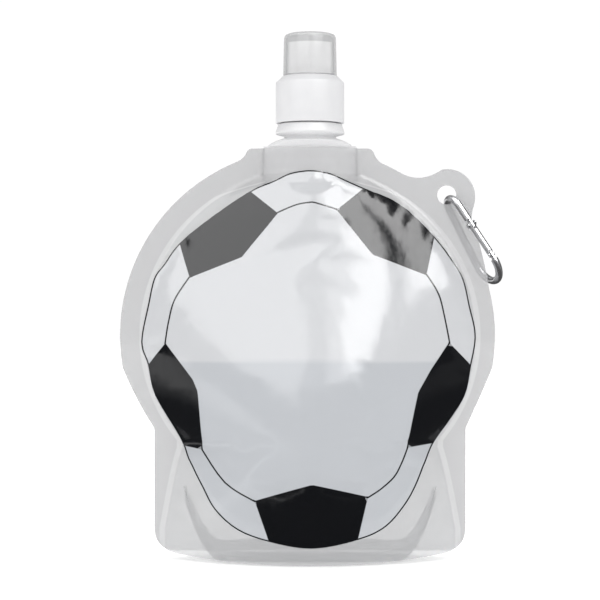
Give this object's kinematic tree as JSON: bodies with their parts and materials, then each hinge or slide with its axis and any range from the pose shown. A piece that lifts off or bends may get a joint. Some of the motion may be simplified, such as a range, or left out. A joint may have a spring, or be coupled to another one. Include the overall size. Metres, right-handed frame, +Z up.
{
  "type": "folding water bottle",
  "caption": "Stand-up film water pouch cut to a ball outline, with welded spout, screw cap, push-pull nozzle, dust cover and a snap hook in a punched ear.",
  "frame": {"origin": "middle of the base, where the gusset floor rests, in the plane where the two films meet", "axes": "+Z up along the spout axis, printed front towards -Y, +X towards the punched ear"},
  "size_m": [0.1527, 0.0548, 0.2097],
  "materials": {
    "printed_film": "glossy translucent laminate with a printed ball pattern under the surface",
    "clear_film": "glossy translucent laminate",
    "milky_plastic": "moulded translucent polyethylene",
    "white_plastic": "moulded white polypropylene, satin",
    "clear_plastic": "polished clear polypropylene",
    "seal_foam": "closed-cell foam",
    "bright_metal": "polished",
    "spring_steel": "drawn wire"
  },
  "bodies": {
    "pouch_upper": {"front_film_upper": "printed_film", "back_film_upper": "printed_film", "spout": "milky_plastic"},
    "pouch_lower": {"front_film_lower": "printed_film", "back_film_lower": "printed_film", "bottom_gusset": "clear_film"},
    "cap_lift": {"cap_seal": "seal_foam"},
    "cap": {"screw_cap": "white_plastic"},
    "nozzle": {"nozzle": "milky_plastic"},
    "dust_cover": {"dust_cover": "clear_plastic"},
    "carabiner": {"carabiner_frame": "bright_metal", "gate_pivot_rivet": "spring_steel", "nose_pin": "spring_steel"},
    "gate": {"carabiner_gate": "bright_metal", "gate_plunger": "spring_steel", "gate_spring": "spring_steel"}
  },
  "joints": [
    {"name": "pouch_fold", "type": "hinge", "parent": "pouch_upper", "child": "pouch_lower", "pos_m": [0, 0, 0.06], "axis": [1, 0, 0], "range_deg": [0, 176], "stiffness_Nm_per_rad": 0.3, "deforming": ["front_film_lower", "back_film_lower", "bottom_gusset", "front_film_upper", "back_film_upper"]},
    {"name": "cap_rise", "type": "slide", "parent": "pouch_upper", "child": "cap_lift", "axis": [0, 0, 1], "range_m": [0, 0.00485]},
    {"name": "cap_unscrew", "type": "hinge", "parent": "cap_lift", "child": "cap", "pos_m": [0, 0, 0.181], "axis": [0, 0, 1], "range_deg": [0, 540]},
    {"name": "nozzle_pull", "type": "slide", "parent": "cap", "child": "nozzle", "axis": [0, 0, 1], "range_m": [0, 0.0036]},
    {"name": "dust_cover_lift", "type": "slide", "parent": "cap", "child": "dust_cover", "axis": [0, 0, 1], "range_m": [0, 0.022]},
    {"name": "carabiner_swing", "type": "hinge", "parent": "pouch_upper", "child": "carabiner", "pos_m": [0.0547, 0, 0.1452], "axis": [0, -1, 0], "range_deg": [0, 150]},
    {"name": "gate_open", "type": "hinge", "parent": "carabiner", "child": "gate", "pos_m": [0.06413, -0.00492, 0.13331], "axis": [0.7893, 0.4115, 0.4557], "range_deg": [0, 18], "stiffness_Nm_per_rad": 0.0001, "springref_deg": -6.88}
  ],
  "couplings": [
    {"joint": "cap_rise", "follows": "cap_unscrew", "m_per_rad": 0.0005093}
  ]
}
